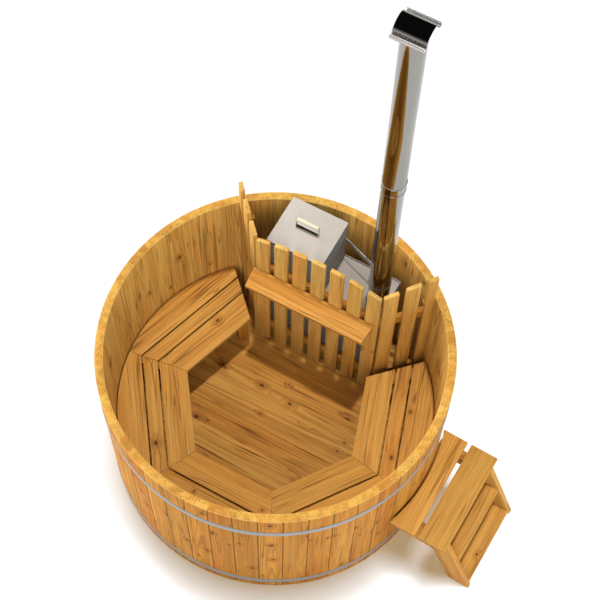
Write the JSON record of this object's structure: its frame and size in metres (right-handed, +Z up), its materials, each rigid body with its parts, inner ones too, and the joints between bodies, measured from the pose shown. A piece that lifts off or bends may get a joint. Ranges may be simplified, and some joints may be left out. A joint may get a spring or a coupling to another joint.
{
  "type": "wooden hot tub",
  "caption": "Round staved wooden hot tub with steel hoops, a bench ring, an inside stove with a tall flue behind a slatted guard, a floor drain and outside steps.",
  "frame": {"origin": "on the ground, on the tub's axis, at the middle of the underside of the middle floor bearer", "axes": "+Z up along the tub's axis, +Y towards the stove and its guard, +X towards the outside steps"},
  "size_m": [2.3081, 1.8342, 3.162],
  "materials": {
    "pine": "satin, honey-coloured softwood with knots",
    "pale_wood": "smooth, pale",
    "steel_band": "dull rolled steel",
    "stainless": "bright",
    "stove_aluminium": "matt, light grey",
    "mirror_steel": "mirror polish",
    "grate_iron": "rough",
    "plug_rubber": "matt"
  },
  "bodies": {
    "tub": {"staves": "pine", "hoop_upper": "steel_band", "hoop_lower": "steel_band", "hoop_bolts": "stainless", "floor_boards": "pine", "floor_bearers": "pine", "drain_fitting": "stainless", "drain_nut": "stainless", "bench_1_front": "pine", "bench_1_middle": "pine", "bench_1_back": "pine", "bench_2_front": "pine", "bench_2_middle": "pine", "bench_2_back": "pine", "bench_3_front": "pine", "bench_3_middle": "pine", "bench_3_back": "pine", "bench_4_front": "pine", "bench_4_middle": "pine", "bench_4_back": "pine", "bench_5_front": "pine", "bench_5_middle": "pine", "bench_5_back": "pine", "bench_beams": "pine", "bench_legs": "pine", "bench_wall_blocks": "pine", "bench_screws": "stainless", "pickets_front": "pine", "pickets_left": "pine", "pickets_right": "pine", "guard_rails_upper": "pine", "guard_rails_lower": "pine", "guard_wall_battens": "pine", "guard_screws": "stainless", "shelf_board": "pine", "shelf_brackets": "pine", "stove_body": "stove_aluminium", "stove_feet": "steel_band", "stove_grate": "grate_iron", "flue_collar": "mirror_steel", "flue_lower": "mirror_steel", "flue_upper": "mirror_steel", "flue_clamp": "steel_band", "flue_strut": "steel_band", "strut_bolt": "stainless", "rain_cap": "mirror_steel", "cap_straps": "steel_band", "step_board_inner": "pine", "step_board_outer": "pine", "step_tread_middle": "pine", "step_board_low": "pine", "step_side_left": "pine", "step_side_right": "pine", "step_ledger": "pine", "step_cleats": "pine", "step_screws": "stainless"},
    "lid": {"stove_lid": "stove_aluminium", "lid_grip": "pale_wood", "lid_grip_bracket": "stove_aluminium"},
    "plug": {"drain_plug": "plug_rubber"}
  },
  "joints": [
    {"name": "lid_lift", "type": "slide", "parent": "tub", "child": "lid", "axis": [0, 0, 1], "range_m": [0, 0.3]},
    {"name": "plug_lift", "type": "slide", "parent": "tub", "child": "plug", "axis": [0, 0, 1], "range_m": [0, 0.1]}
  ]
}
